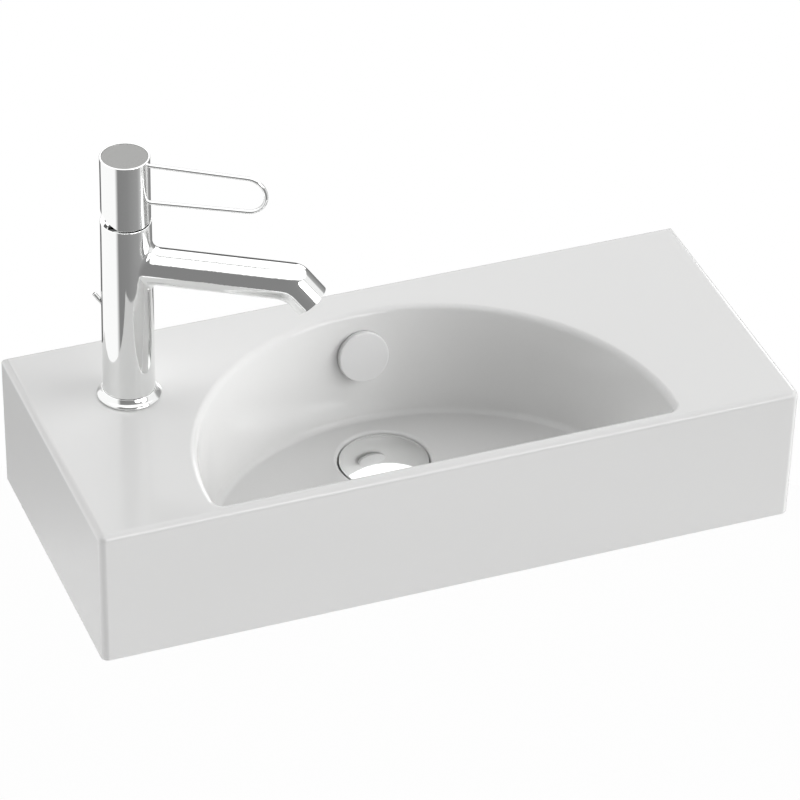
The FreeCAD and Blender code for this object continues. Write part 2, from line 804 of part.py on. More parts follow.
def clamp_screw():
    face = strap_x - strap_thickness / 2
    head = lying(clamp_head_radius, face - clamp_head_length, face, 0, clamp_axis)
    shank = lying(clamp_screw_radius, face, rod_distance - lift_rod_radius - fit, 0, clamp_axis)
    slot = block(face - clamp_head_length - 1, face - clamp_head_length / 2, -clamp_head_radius,
                 clamp_head_radius, clamp_axis - 0.6, clamp_axis + 0.6)
    return at_waste(head.fuse(shank).cut(slot))


def pin_path(radius):
    """The pull pin's slanting line, from the lift rod out through the body's rear wall."""
    inner = lift_rod_back
    outer = body_radius_at(pull_pin_height) + pull_pin_out * math.cos(pin_angle)
    start_height = pull_pin_height - (body_radius_at(pull_pin_height) - inner) * math.tan(pin_angle)
    direction = Vec(-math.cos(pin_angle), 0, math.sin(pin_angle))
    length = (outer - inner) / math.cos(pin_angle)
    return Part.makeCylinder(radius, length, Vec(-inner, 0, start_height), direction)


def pin_root_height():
    return pull_pin_height - (body_radius_at(pull_pin_height) - lift_rod_back) * math.tan(pin_angle)


def pull_pin():
    pin = pin_path(pull_pin_radius)
    edges = [e for e in pin.Edges if e.CenterOfMass.x < -body_foot_radius]
    return at_tap(pin.makeFillet(pull_pin_radius / 3, edges))


def lift_rod():
    middle = pin_root_height()
    low = clamp_axis - clamp_height / 2 - 3
    half = lift_head_length / 2
    rod = upright(lift_rod_radius, low, middle, -lift_rod_back)
    head = upright(lift_head_radius, middle - half, middle + half, -lift_rod_back)
    return at_tap(rod.fuse(head).cut(pin_path(pull_pin_radius + fit)))


# ---- mixer body ----
def body_radius_at(height):
    share = (height - body_foot) / body_height
    return body_foot_radius + (body_top_radius - body_foot_radius) * share


def nose_direction():
    angle = math.radians(spout_bend_angle)
    return Vec(math.cos(angle), 0, -math.sin(angle))


def spout_corner():
    return Vec(spout_reach, 0, spout_height)


def spout_mouth():
    return spout_corner() + nose_direction() * spout_nose


def spout_tube(radius, start):
    """Level tube whose end turns down, with the same bend on every line along it.

    Its section on the plane that halves the bend keeps its shape and slides along the middle line."""
    half_angle = math.radians(spout_bend_angle / 2)
    setback = spout_bend_radius * math.tan(half_angle)
    corner = spout_corner()
    bend_start = corner - X_AXIS * setback
    bend_end = corner + nose_direction() * setback
    pivot = bend_start - Vec(0, 0, spout_bend_radius)
    middle = pivot + Vec(math.sin(half_angle), 0, math.cos(half_angle)) * spout_bend_radius
    slant = Vec(math.sin(half_angle), 0, math.cos(half_angle))
    outline = Part.Ellipse(bend_start + slant * (radius / math.cos(half_angle)), bend_start + Y_AXIS * radius, bend_start)
    section = Part.Wire([outline.toShape()])
    sweep = Part.BRepOffsetAPI.MakePipeShell(Part.Wire([Part.Arc(bend_start, middle, bend_end).toShape()]))
    sweep.setTrihedronMode(bend_start, slant)
    sweep.add(section, False, False)
    sweep.build()
    sweep.makeSolid()
    bend = sweep.shape()
    straight = Part.Face(section).extrude(X_AXIS * (start - bend_start.x))
    end_section = section.copy()
    end_section.translate(bend_end - bend_start)
    nose = Part.Face(end_section).extrude(nose_direction() * (spout_nose + radius))
    beyond = Part.makeCylinder(3 * radius, 3 * radius, spout_mouth(), nose_direction())
    return straight.fuse([bend, nose]).cut(beyond)


def in_nose(outer, inner, shallow, deep):
    """Ring or disc inside the spout's end, between two depths from the mouth."""
    start = spout_mouth() - nose_direction() * deep
    shape = Part.makeCylinder(outer, deep - shallow, start, nose_direction())
    if inner > 0:
        shape = shape.cut(Part.makeCylinder(inner, deep - shallow, start, nose_direction()))
    return shape


def pull_slot():
    """Slot in the body's rear wall for the pull pin's travel."""
    wall = body_foot_radius - cavity_radius
    spread = pull_pin_radius / math.cos(pin_angle) + wall * math.tan(pin_angle) + pull_slot_clearance
    half = pull_pin_radius + pull_slot_clearance
    return block(-body_foot_radius - 1, -cavity_radius + 1, -half, half,
                 pull_pin_height - rod_travel - spread, pull_pin_height + spread / 2)


def tap_body():
    body = Part.makeCone(body_foot_radius, body_top_radius, body_height, Vec(0, 0, body_foot), Z_AXIS)
    shape = body.fuse(spout_tube(spout_radius, 0)).removeSplitter()
    joint = []
    for edge in shape.Edges:
        box = edge.BoundBox
        near_spout = abs(edge.CenterOfMass.z - spout_height) < spout_radius + 1
        if near_spout and box.XMax < body_foot_radius + 1 and box.XMin > 0 and box.XLength > 1:
            joint.append(edge)
    shape = shape.makeFillet(spout_fillet, joint)
    shape = shape.makeFillet(head_edge_radius, [e for e in shape.Edges if e.BoundBox.ZMin > body_top - 1e-3])
    plate_top = body_foot + foot_plate
    cuts = [
        upright(cavity_radius, plate_top, cavity_height),
        upright(cartridge_bore_radius, cartridge_seat, body_top + 1),
        spout_tube(spout_bore_radius, body_foot_radius),
        lying(spout_feed_radius, 0, body_foot_radius + 1, 0, spout_height),
        upright(outlet_radius, spout_height, cartridge_seat + 1, outlet_offset),
        in_nose(aerator_radius + fit, 0, -1, aerator_set_back + aerator_length + aerator_seal_thickness),
        upright(stud_radius + fit, body_foot - 1, plate_top + 1, stud_offset),
        upright(lift_rod_radius + rod_guide_fit, body_foot - 1, plate_top + 1, -lift_rod_back),
        block(-hose_slot_back, hose_slot_front, -hose_slot_half, hose_slot_half, body_foot - 1, plate_top + 1),
        pull_slot()]
    for side in (-1, 1):
        cuts.append(upright(inlet_radius, cavity_height - 1, cavity_height + inlet_depth,
                            -hose_offset_back, side * hose_offset_side))
        cuts.append(upright(channel_radius, cavity_height, cartridge_seat + 1,
                            -hose_offset_back, side * channel_offset))
    return at_tap(shape.cut(cuts))


def base_ring():
    bore = body_foot_radius + ring_clearance
    low = slack
    return at_tap(turned([
        (bore, low), (ring_foot_radius - 0.4, low), (ring_foot_radius, low + 0.4),
        (ring_foot_radius, ring_foot_height), (ring_top_radius, ring_height), (bore, ring_height)]))


def base_seal():
    return at_tap(ring(body_foot_radius, foot_seal_inner_radius, 0, foot_seal_thickness))


def mount_disc(low, high):
    """Horseshoe disc under the deck: a hole for the stud and a slot for the hoses."""
    half = mount_slot_width / 2
    slot = block(-2 * mount_disc_radius, mount_slot_edge, -half, half, low - 1, high + 1)
    stud_hole = upright(stud_radius + slack, low - 1, high + 1, stud_offset)
    return upright(mount_disc_radius, low, high).cut([slot, stud_hole])


def mount_gasket():
    return at_tap(mount_disc(-deck_thickness - mount_gasket_thickness, -deck_thickness))


def mount_plate():
    high = -deck_thickness - mount_gasket_thickness
    return at_tap(mount_disc(high - mount_plate_thickness, high))


def mount_stud():
    top = body_foot + foot_plate
    return at_tap(upright(stud_radius, top - stud_length, top, stud_offset))


def stud_nut():
    high = -deck_thickness - mount_gasket_thickness - mount_plate_thickness
    low = high - stud_nut_height
    nut = hexagon(stud_nut_flats, low, high).cut(upright(stud_radius + fit, low - 1, high + 1))
    nut.translate(Vec(stud_offset, 0, 0))
    return at_tap(nut)


def aerator_housing():
    inner = aerator_radius - aerator_wall
    return at_tap(in_nose(aerator_radius, inner, aerator_set_back, aerator_set_back + aerator_length))


def aerator_insert():
    radius = aerator_radius - aerator_wall - fit
    shallow = aerator_set_back + 1
    shape = in_nose(radius, 0, shallow, shallow + aerator_insert_length)
    centre = spout_mouth()
    jets = [Part.makeCylinder(0.6, aerator_length, centre - nose_direction() * aerator_length, nose_direction())]
    for turn_number in range(12):
        jet = jets[0].copy()
        shift = Y_AXIS * (0.68 * radius)
        jet.translate(shift)
        jet.rotate(centre, nose_direction(), 30 * turn_number)
        jets.append(jet)
    return at_tap(shape.cut(jets))


def aerator_seal():
    shallow = aerator_set_back + aerator_length
    return at_tap(in_nose(aerator_radius, spout_bore_radius, shallow, shallow + aerator_seal_thickness))


# ---- cartridge ----
def port_tools(low, high, radius):
    """Two inlets and the outlet, as cutting cylinders."""
    tools = [upright(outlet_radius, low, high, outlet_offset)]
    for side in (-1, 1):
        tools.append(upright(radius, low, high, -hose_offset_back, side * channel_offset))
    return tools


def cartridge_seal():
    disc = upright(cartridge_seal_radius, cartridge_seat, housing_foot)
    return at_tap(disc.cut(port_tools(cartridge_seat - 1, housing_foot + 1, channel_radius)))


def cartridge_housing():
    cup = upright(housing_radius, housing_foot, housing_top)
    inside = upright(housing_radius - housing_wall, fixed_disc_foot, housing_top + 1)
    return at_tap(cup.cut([inside] + port_tools(housing_foot - 1, fixed_disc_foot + 1, channel_radius)))


def fixed_disc():
    top = fixed_disc_foot + disc_thickness
    disc = upright(disc_radius, fixed_disc_foot, top)
    return at_tap(disc.cut(port_tools(fixed_disc_foot - 1, top + 1, channel_radius)))


def moving_disc():
    start = -disc_travel / 2
    disc = upright(moving_disc_radius, moving_disc_foot, carrier_foot, start)
    chamber = upright(moving_disc_radius - 3, moving_disc_foot - 1, moving_disc_foot + 1.5, start)
    return at_tap(disc.cut(chamber))


def disc_carrier():
    top = carrier_foot + carrier_thickness
    disc = upright(moving_disc_radius, carrier_foot, top, -disc_travel / 2)
    return at_tap(disc.cut(upright(carrier_socket_radius, carrier_foot + 0.5, top + 1)))


def turret():
    flange = upright(housing_radius - housing_wall - fit, turret_foot, neck_start)
    neck = upright(turret_neck_radius, neck_start, turret_top)
    half_length = turret_slot_length / 2
    half_width = turret_slot_width / 2
    slot = block(-half_length, half_length, -half_width, half_width, turret_foot - 1, turret_top + 1)
    pin_hole = Part.makeCylinder(pivot_pin_radius, 4 * turret_neck_radius,
                                 Vec(0, -2 * turret_neck_radius, pivot_height), Y_AXIS)
    return at_tap(flange.fuse(neck).cut([slot, pin_hole]))


def pivot_pin():
    half = turret_neck_radius - 0.2
    return at_tap(Part.makeCylinder(pivot_pin_radius, 2 * half, Vec(0, -half, pivot_height), Y_AXIS))


def cartridge_nut():
    top = housing_top + nut_ring_height
    shape = ring(cartridge_bore_radius - fit, turret_neck_radius + fit, housing_top, top)
    half = nut_ring_notch / 2
    notch = block(-body_foot_radius, body_foot_radius, -half, half, top - half, top + 1)
    return at_tap(shape.cut(notch))


def lever_spindle():
    half = spindle_width / 2
    blade_foot = pivot_height - half - 1
    blade = block(-half, half, -half, half, blade_foot, pivot_height + spindle_length)
    foot = upright(spindle_foot_radius, pivot_height - spindle_arm, blade_foot + 1)
    ball = Part.makeSphere(spindle_ball_radius, Vec(0, 0, pivot_height - spindle_arm))
    ball = ball.common(block(-5, 5, -5, 5, carrier_foot + 0.9, pivot_height))
    pin_hole = Part.makeCylinder(pivot_pin_radius + fit, 4 * half, Vec(0, -2 * half, pivot_height), Y_AXIS)
    return at_tap(blade.fuse([foot, ball]).cut(pin_hole))


# ---- head, cap and loop ----
def loop_solid(radius):
    """Round wire loop in the plane of the spout: two slightly opening wires and a round end."""
    taper = math.radians(loop_taper)
    centre = loop_reach - loop_wire_radius - loop_half_gap
    touch_x = centre + loop_half_gap * math.sin(taper)
    touch_z = loop_half_gap * math.cos(taper)
    root_z = touch_z + (touch_x - loop_root) * math.tan(taper)
    upper_root = Vec(loop_root, 0, loop_middle + root_z)
    upper_touch = Vec(touch_x, 0, loop_middle + touch_z)
    tip = Vec(centre + loop_half_gap, 0, loop_middle)
    lower_touch = Vec(touch_x, 0, loop_middle - touch_z)
    lower_root = Vec(loop_root, 0, loop_middle - root_z)
    path = Part.Wire([
        Part.LineSegment(upper_root, upper_touch).toShape(),
        Part.Arc(upper_touch, tip, lower_touch).toShape(),
        Part.LineSegment(lower_touch, lower_root).toShape()])
    section = Part.Wire([Part.makeCircle(radius, upper_root, upper_touch - upper_root)])
    return path.makePipeShell([section], True, True)


def loop_handle():
    return at_tap(loop_solid(loop_wire_radius))


def handle_head():
    shape = upright(head_radius, head_foot, head_top)
    shape = shape.makeFillet(head_edge_radius, [e for e in shape.Edges if e.BoundBox.ZLength < 1e-3])
    side = spindle_width / 2 + fit
    slope = math.tan(math.radians(head_relief_angle))
    back = head_radius + 2
    relief = prism_along_y(
        [(0, head_foot), (0, head_foot - 1), (-back, head_foot - 1), (-back, head_foot + back * slope)],
        head_radius + 1)
    grub_axis = head_foot + grub_height
    return at_tap(shape.cut([
        upright(head_cavity_radius, head_foot - 1, head_foot + head_cavity_height),
        block(-side, side, -side, side, head_foot, pivot_height + spindle_length + 0.5),
        upright(head_cap_radius + fit, head_top - head_cap_sink - head_cap_thickness, head_top + 1),
        relief,
        lying(grub_radius + fit, -head_radius - 1, 0, 0, grub_axis),
        loop_solid(loop_wire_radius + fit)]))


def head_cap():
    top = head_top - head_cap_sink
    return at_tap(upright(head_cap_radius, top - head_cap_thickness, top))


def grub_screw():
    axis = head_foot + grub_height
    tip = -spindle_width / 2 - fit
    screw = lying(grub_radius, tip - grub_length, tip, 0, axis)
    socket = lying(grub_socket_radius, tip - grub_length - 1, tip - grub_length / 2, 0, axis)
    return at_tap(screw.cut(socket))


PIECES = [
    basin, overflow_cover, overflow_insert,
    waste_flange, waste_gasket, waste_lower_seal, waste_washer, waste_locknut, waste_body,
    ball_seat, ball_nut, tail_pipe,
    plug_cap, plug_core, plug_seal, plug_stem, stem_nut,
    ball_rod, pivot_ball, rod_clips,
    link_strap, strap_clamp, clamp_screw, lift_rod, pull_pin,
    tap_body, base_ring, base_seal, mount_gasket, mount_plate, mount_stud, stud_nut,
    aerator_housing, aerator_insert, aerator_seal,
    cartridge_seal, cartridge_housing, fixed_disc, cartridge_nut,
    moving_disc, disc_carrier, turret, pivot_pin,
    lever_spindle, handle_head, head_cap, loop_handle, grub_screw]


def main():
    os.makedirs("parts", exist_ok=True)
    for piece in PIECES:
        piece().exportStep("parts/" + piece.__name__ + ".step")
    print("lever turn", round(lever_turn, 3), "swing", round(lever_swing, 3), "outer arm", round(lever_outer, 3))
    print("rod travel", round(rod_travel, 3), "disc travel", round(disc_travel, 3))


main()
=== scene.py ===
import json
import math

import bpy
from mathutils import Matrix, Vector


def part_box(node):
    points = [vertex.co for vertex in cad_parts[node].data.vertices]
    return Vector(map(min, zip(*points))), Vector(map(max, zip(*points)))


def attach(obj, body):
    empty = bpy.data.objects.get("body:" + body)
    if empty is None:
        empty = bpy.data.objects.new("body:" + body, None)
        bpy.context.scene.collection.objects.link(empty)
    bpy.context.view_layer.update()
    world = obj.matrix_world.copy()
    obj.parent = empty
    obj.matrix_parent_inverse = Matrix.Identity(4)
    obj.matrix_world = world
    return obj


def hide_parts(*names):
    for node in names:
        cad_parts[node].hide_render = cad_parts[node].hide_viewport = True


bl_info = {
    "name": "Wall hung basin with side mixer",
    "version": (1, 0, 0),
    "blender": (4, 5, 0),
    "location": "View3D > Sidebar > Basin",
    "description": "Finishes the ceramic basin, its mixer and its pop-up waste, and sets up a small studio",
    "category": "Object",
}

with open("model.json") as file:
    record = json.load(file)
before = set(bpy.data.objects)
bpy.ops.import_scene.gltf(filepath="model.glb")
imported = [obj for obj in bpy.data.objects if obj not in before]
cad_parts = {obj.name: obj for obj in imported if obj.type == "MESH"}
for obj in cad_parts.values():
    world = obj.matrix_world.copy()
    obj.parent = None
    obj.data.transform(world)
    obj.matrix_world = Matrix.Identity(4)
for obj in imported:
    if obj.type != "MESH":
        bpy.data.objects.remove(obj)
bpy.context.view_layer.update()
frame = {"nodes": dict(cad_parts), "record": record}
POLE = 0.000004        # radius at which a turned outline starts and ends, merged to a point afterwards
SAME_POINT = 0.000002  # corners of a CAD piece's loose triangles that lie nearer than this are one point


# ---- sizes, colours and light that a user would change ----
class CeramicSettings(bpy.types.PropertyGroup):
    cover_radius: bpy.props.FloatProperty(
        name="Overflow cover radius", description="Radius of the round cover of the overflow",
        min=0.01, max=0.03, default=0.0182, unit="LENGTH", precision=4)
    cover_thickness: bpy.props.FloatProperty(
        name="Overflow cover thickness", description="Thickness of the round cover of the overflow",
        min=0.002, max=0.01, default=0.0045, unit="LENGTH", precision=4)
    cover_gap: bpy.props.FloatProperty(
        name="Overflow gap", description="Open gap behind the cover, where water enters",
        min=0.0005, max=0.005, default=0.0023, unit="LENGTH", precision=4)
    cover_lean: bpy.props.FloatProperty(
        name="Overflow lean", description="How far the cover's axis points up from level",
        min=0, max=math.radians(45), default=math.radians(14), subtype="ANGLE")
    cover_place: bpy.props.FloatVectorProperty(
        name="Overflow place", description="Middle of the overflow hole in the bowl's rear wall",
        size=3, default=(0.0, -0.0354, 0.0130), subtype="XYZ", unit="LENGTH", precision=4)
    glaze_colour: bpy.props.FloatVectorProperty(
        name="Glaze colour", description="Colour of the white glaze", subtype="COLOR",
        size=3, min=0, max=1, default=(0.80, 0.80, 0.795))
    glaze_roughness: bpy.props.FloatProperty(
        name="Glaze roughness", description="How blurred the glaze's reflections are",
        min=0, max=1, default=0.13, subtype="FACTOR")
    glaze_ripple: bpy.props.FloatProperty(
        name="Glaze ripple", description="Height of the faint ripple that firing leaves in the glaze",
        min=0, max=0.001, default=0.00001, unit="LENGTH", precision=6)


class WasteSettings(bpy.types.PropertyGroup):
    dome_rise: bpy.props.FloatProperty(
        name="Dome rise", description="Height of the plug's dome above its rim",
        min=0.001, max=0.01, default=0.0046, unit="LENGTH", precision=4)
    dome_wall: bpy.props.FloatProperty(
        name="Dome wall", description="Thickness of the plug's metal",
        min=0.0005, max=0.003, default=0.0018, unit="LENGTH", precision=4)
    rim_height: bpy.props.FloatProperty(
        name="Rim height", description="Height of the plug's upright rim",
        min=0.0005, max=0.005, default=0.0016, unit="LENGTH", precision=4)


class MixerSettings(bpy.types.PropertyGroup):
    ring_shoulder: bpy.props.FloatProperty(
        name="Base ring shoulder", description="Radius of the base ring at its top",
        min=0.015, max=0.03, default=0.0187, unit="LENGTH", precision=4)
    ring_foot: bpy.props.FloatProperty(
        name="Base ring foot", description="Height of the base ring's upright foot",
        min=0.0005, max=0.005, default=0.0016, unit="LENGTH", precision=4)
    chrome_colour: bpy.props.FloatVectorProperty(
        name="Chrome colour", description="Tint of the polished chrome", subtype="COLOR",
        size=3, min=0, max=1, default=(0.86, 0.865, 0.86))
    chrome_roughness: bpy.props.FloatProperty(
        name="Chrome roughness", description="How blurred the chrome's reflections are",
        min=0, max=1, default=0.045, subtype="FACTOR")
    cap_colour: bpy.props.FloatVectorProperty(
        name="Cap colour", description="Tint of the satin disc on top of the handle", subtype="COLOR",
        size=3, min=0, max=1, default=(0.285, 0.285, 0.28))


class StudioSettings(bpy.types.PropertyGroup):
    light: bpy.props.FloatProperty(
        name="Light", description="Strength of the soft light from all round", min=0, max=5, default=1.0)
    floor_drop: bpy.props.FloatProperty(
        name="Floor drop", description="Wall-bolt height above the floor", min=0.1, max=2, default=0.80,
        unit="LENGTH")


# ---- small modelling steps ----
def deselect():
    if bpy.context.mode != "OBJECT":
        bpy.ops.object.mode_set(mode="OBJECT")
    bpy.ops.object.select_all(action="DESELECT")


def take(piece):
    """Make one piece the active and only selected one."""
    deselect()
    piece.hide_set(False)
    bpy.context.view_layer.objects.active = piece
    piece.select_set(True)


def edit(piece):
    """Open one piece's mesh with all of it selected."""
    take(piece)
    bpy.ops.object.mode_set(mode="EDIT")
    bpy.ops.mesh.select_mode(type="VERT")
    bpy.ops.mesh.select_all(action="SELECT")


def settle(piece):
    """Write a finished piece's place into its mesh."""
    take(piece)
    bpy.ops.object.transform_apply(location=True, rotation=True, scale=True)


def add_modifier(piece, kind, **values):
    modifier = piece.modifiers.new(kind.title(), kind)
    for name, value in values.items():
        setattr(modifier, name, value)
    take(piece)
    bpy.ops.object.modifier_apply(modifier=modifier.name)


def even_shading(piece, angle=35, flats=True):
    """Smooth faces with sharp turns kept, and unless told otherwise, flats kept flat beside roundings."""
    take(piece)
    bpy.ops.object.shade_smooth_by_angle(angle=math.radians(angle))
    if flats:
        add_modifier(piece, "WEIGHTED_NORMAL", mode="FACE_AREA", weight=100, keep_sharp=True)


def turned_piece(name, points, sides=128):
    """A turned piece about the world's Z, from a closed round of (radius, height) points."""
    deselect()
    radius, height = points[0]
    bpy.ops.mesh.primitive_circle_add(
        vertices=sides, radius=radius, fill_type="NOTHING", location=(0, 0, height))
    piece = bpy.context.active_object
    piece.name = piece.data.name = name
    bpy.ops.object.transform_apply(location=True, rotation=False, scale=False)
    edit(piece)
    for next_radius, next_height in points[1:]:
        bpy.ops.mesh.extrude_edges_move(TRANSFORM_OT_translate={"value": (0, 0, next_height - height)})
        share = next_radius / radius
        bpy.ops.transform.resize(value=(share, share, 1), center_override=(0, 0, next_height))
        radius, height = next_radius, next_height
    bpy.ops.mesh.select_all(action="SELECT")
    bpy.ops.mesh.remove_doubles(threshold=2.5 * POLE)
    bpy.ops.mesh.normals_make_consistent(inside=False)
    bpy.ops.object.mode_set(mode="OBJECT")
    return piece


def rounding(radius, middle_radius, middle_height, start, end, steps=6):
    """Points of an outline's rounding, from one angle to another in degrees."""
    points = []
    for step in range(steps + 1):
        angle = math.radians(start + (end - start) * step / steps)
        points.append((middle_radius + radius * math.cos(angle), middle_height + radius * math.sin(angle)))
    return points


def dome(radius, foot, rise, steps=14):
    """Points of a shallow dome's outline, from its rim to its pole."""
    ball = (radius * radius + rise * rise) / (2 * rise)
    points = []
    for step in range(steps + 1):
        out = max(radius * (1 - step / steps), POLE)
        points.append((out, foot + rise - ball + math.sqrt(ball * ball - out * out)))
    return points


def place(piece, location, tilt=0.0):
    piece.rotation_euler = (tilt, 0, 0)
    piece.location = location
    settle(piece)


def node_middle(node):
    """Middle, foot and top of a CAD piece, and half its width."""
    low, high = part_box(node)
    middle = Vector(((low[0] + high[0]) / 2, (low[1] + high[1]) / 2, 0))
    return middle, low[2], high[2], (high[0] - low[0]) / 2


def smooth_copy(node, name):
    """A copy of a CAD piece with its triangles merged, ready for even shading."""
    source = frame["nodes"][node]
    piece = bpy.data.objects.new(name, source.data.copy())
    bpy.context.scene.collection.objects.link(piece)
    piece.data.materials.clear()
    edit(piece)
    bpy.ops.mesh.remove_doubles(threshold=SAME_POINT)
    bpy.ops.mesh.customdata_custom_splitnormals_clear()
    bpy.ops.object.mode_set(mode="OBJECT")
    return piece


def finish_piece(piece, node, slot_name):
    """Give a piece its finish, and let it stand for a CAD node on that node's body."""
    body = next(body for body, nodes in frame["record"]["behaviour"]["bodies"].items() if node in nodes)
    piece.data.materials.clear()
    piece.data.materials.append(material_for(slot_name))
    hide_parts(node)
    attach(piece, body)


# ---- shader helpers, and shared effects as shader groups ----
def node_maths(nodes, links, operation, first, second=None, third=None):
    step = nodes.new("ShaderNodeMath")
    step.operation = operation
    for socket, value in zip(step.inputs, (first, second, third)):
        if isinstance(value, (int, float)):
            socket.default_value = value
        elif value is not None:
            links.new(value, socket)
    return step.outputs[0]


def mixed(nodes, links, share, first, second):
    mix = nodes.new("ShaderNodeMix")
    mix.data_type = "RGBA"
    links.new(share, mix.inputs["Factor"])
    for label, value in (("A", first), ("B", second)):
        if isinstance(value, (int, float)):
            mix.inputs[label].default_value = (value, value, value, 1)
        else:
            links.new(value, mix.inputs[label])
    return mix.outputs["Result"]


def soft_step(nodes, links, value, start, end):
    step = nodes.new("ShaderNodeMapRange")
    step.interpolation_type = "SMOOTHSTEP"
    links.new(value, step.inputs["Value"])
    step.inputs["From Min"].default_value = start
    step.inputs["From Max"].default_value = end
    return step.outputs["Result"]


def new_group(name, inputs, outputs):
    group = bpy.data.node_groups.new(name, "ShaderNodeTree")
    for label, kind, default in inputs:
        socket = group.interface.new_socket(name=label, in_out="INPUT", socket_type=kind)
        socket.default_value = default
    for label, kind in outputs:
        group.interface.new_socket(name=label, in_out="OUTPUT", socket_type=kind)
    return group, group.nodes.new("NodeGroupInput"), group.nodes.new("NodeGroupOutput")


def surface_group():
    """Slow drift of tone and roughness with a fine unevenness, in metres on the piece."""
    group, given, out = new_group(
        "Surface drift",
        [("Colour", "NodeSocketColor", (0.8, 0.8, 0.8, 1)), ("Tone drift", "NodeSocketFloat", 0.02),
         ("Drift size", "NodeSocketFloat", 0.05), ("Roughness", "NodeSocketFloat", 0.2),
         ("Roughness drift", "NodeSocketFloat", 0.03), ("Fine size", "NodeSocketFloat", 0.004)],
        [("Colour", "NodeSocketColor"), ("Roughness", "NodeSocketFloat"), ("Height", "NodeSocketFloat")])
    nodes, links = group.nodes, group.links
    where = nodes.new("ShaderNodeTexCoord")
    slow = nodes.new("ShaderNodeTexNoise")
    slow.inputs["Detail"].default_value = 2.0
    fine = nodes.new("ShaderNodeTexNoise")
    fine.inputs["Detail"].default_value = 3.0
    for texture, size in ((slow, "Drift size"), (fine, "Fine size")):
        links.new(node_maths(nodes, links, "DIVIDE", 1.0, given.outputs[size]), texture.inputs["Scale"])
        links.new(where.outputs["Object"], texture.inputs["Vector"])
    tone = node_maths(nodes, links, "MULTIPLY_ADD", slow.outputs["Fac"], given.outputs["Tone drift"], 1.0)
    shaded = nodes.new("ShaderNodeVectorMath")
    shaded.operation = "SCALE"
    links.new(given.outputs["Colour"], shaded.inputs[0])
    links.new(tone, shaded.inputs["Scale"])
    links.new(shaded.outputs[0], out.inputs["Colour"])
    rough = node_maths(nodes, links, "MULTIPLY_ADD", slow.outputs["Fac"], given.outputs["Roughness drift"],
                       given.outputs["Roughness"])
    links.new(rough, out.inputs["Roughness"])
    links.new(fine.outputs["Fac"], out.inputs["Height"])
    return group


def drifting_material(name, colour, roughness, tone_drift, rough_drift, drift_size, fine_size, depth,
                      metallic=0.0):
    """Principled material whose tone, roughness and relief vary over the surface."""
    material = bpy.data.materials.new(name)
    material.use_nodes = True
    nodes, links = material.node_tree.nodes, material.node_tree.links
    shader = nodes["Principled BSDF"]
    shader.inputs["Metallic"].default_value = metallic
    drift = nodes.new("ShaderNodeGroup")
    drift.node_tree = bpy.data.node_groups.get("Surface drift") or surface_group()
    drift.inputs["Colour"].default_value = (*colour, 1)
    drift.inputs["Tone drift"].default_value = tone_drift
    drift.inputs["Drift size"].default_value = drift_size
    drift.inputs["Roughness"].default_value = roughness
    drift.inputs["Roughness drift"].default_value = rough_drift
    drift.inputs["Fine size"].default_value = fine_size
    bump = nodes.new("ShaderNodeBump")
    bump.inputs["Distance"].default_value = depth
    links.new(drift.outputs["Colour"], shader.inputs["Base Color"])
    links.new(drift.outputs["Roughness"], shader.inputs["Roughness"])
    links.new(drift.outputs["Height"], bump.inputs["Height"])
    links.new(bump.outputs["Normal"], shader.inputs["Normal"])
    return material


def material_for(slot_name):
    """The finish of one of the record's material slots."""
    known = bpy.data.materials.get("finish " + slot_name)
    if known:
        return known
    ceramic = bpy.context.scene.basin_ceramic
    mixer = bpy.context.scene.basin_mixer
    chrome = tuple(mixer.chrome_colour)
    made = {
        "ceramic": dict(colour=tuple(ceramic.glaze_colour), roughness=ceramic.glaze_roughness,
                        tone_drift=0.012, rough_drift=0.03, drift_size=0.09, fine_size=0.012,
                        depth=ceramic.glaze_ripple),
        "white_plastic": dict(colour=(0.80, 0.80, 0.80), roughness=0.28, tone_drift=0.01, rough_drift=0.04,
                              drift_size=0.02, fine_size=0.0008, depth=0.000004),
        "chrome": dict(colour=chrome, roughness=mixer.chrome_roughness, tone_drift=0.01, rough_drift=0.015,
                       drift_size=0.03, fine_size=0.006, depth=0.0000015, metallic=1.0),
        "satin": dict(colour=tuple(mixer.cap_colour), roughness=0.36, tone_drift=0.03, rough_drift=0.05,
                      drift_size=0.012, fine_size=0.0004, depth=0.000006, metallic=1.0),
        "brass": dict(colour=(0.66, 0.50, 0.25), roughness=0.28, tone_drift=0.10, rough_drift=0.10,
                      drift_size=0.01, fine_size=0.0006, depth=0.00001, metallic=1.0),
        "steel": dict(colour=(0.55, 0.55, 0.55), roughness=0.26, tone_drift=0.05, rough_drift=0.10,
                      drift_size=0.01, fine_size=0.0005, depth=0.00001, metallic=1.0),
        "rubber": dict(colour=(0.022, 0.022, 0.022), roughness=0.62, tone_drift=0.4, rough_drift=0.10,
                       drift_size=0.008, fine_size=0.0007, depth=0.00003),
        "grey_plastic": dict(colour=(0.36, 0.365, 0.37), roughness=0.42, tone_drift=0.10, rough_drift=0.08,
                             drift_size=0.008, fine_size=0.0005, depth=0.00002),
        "disc_ceramic": dict(colour=(0.72, 0.70, 0.66), roughness=0.30, tone_drift=0.04, rough_drift=0.05,
                             drift_size=0.006, fine_size=0.0003, depth=0.000005),
    }[slot_name]
    return drifting_material("finish " + slot_name, **made)


# ---- operators: one for each piece or group of like pieces ----
class BASIN_OT_ceramic(bpy.types.Operator):
    """Finish the ceramic basin"""
    bl_idname = "basin.ceramic"
    bl_label = "Ceramic basin"

    def execute(self, context):
        piece = smooth_copy("basin", "glazed_basin")
        even_shading(piece, 30)
        finish_piece(piece, "basin", "ceramic")
        return {"FINISHED"}


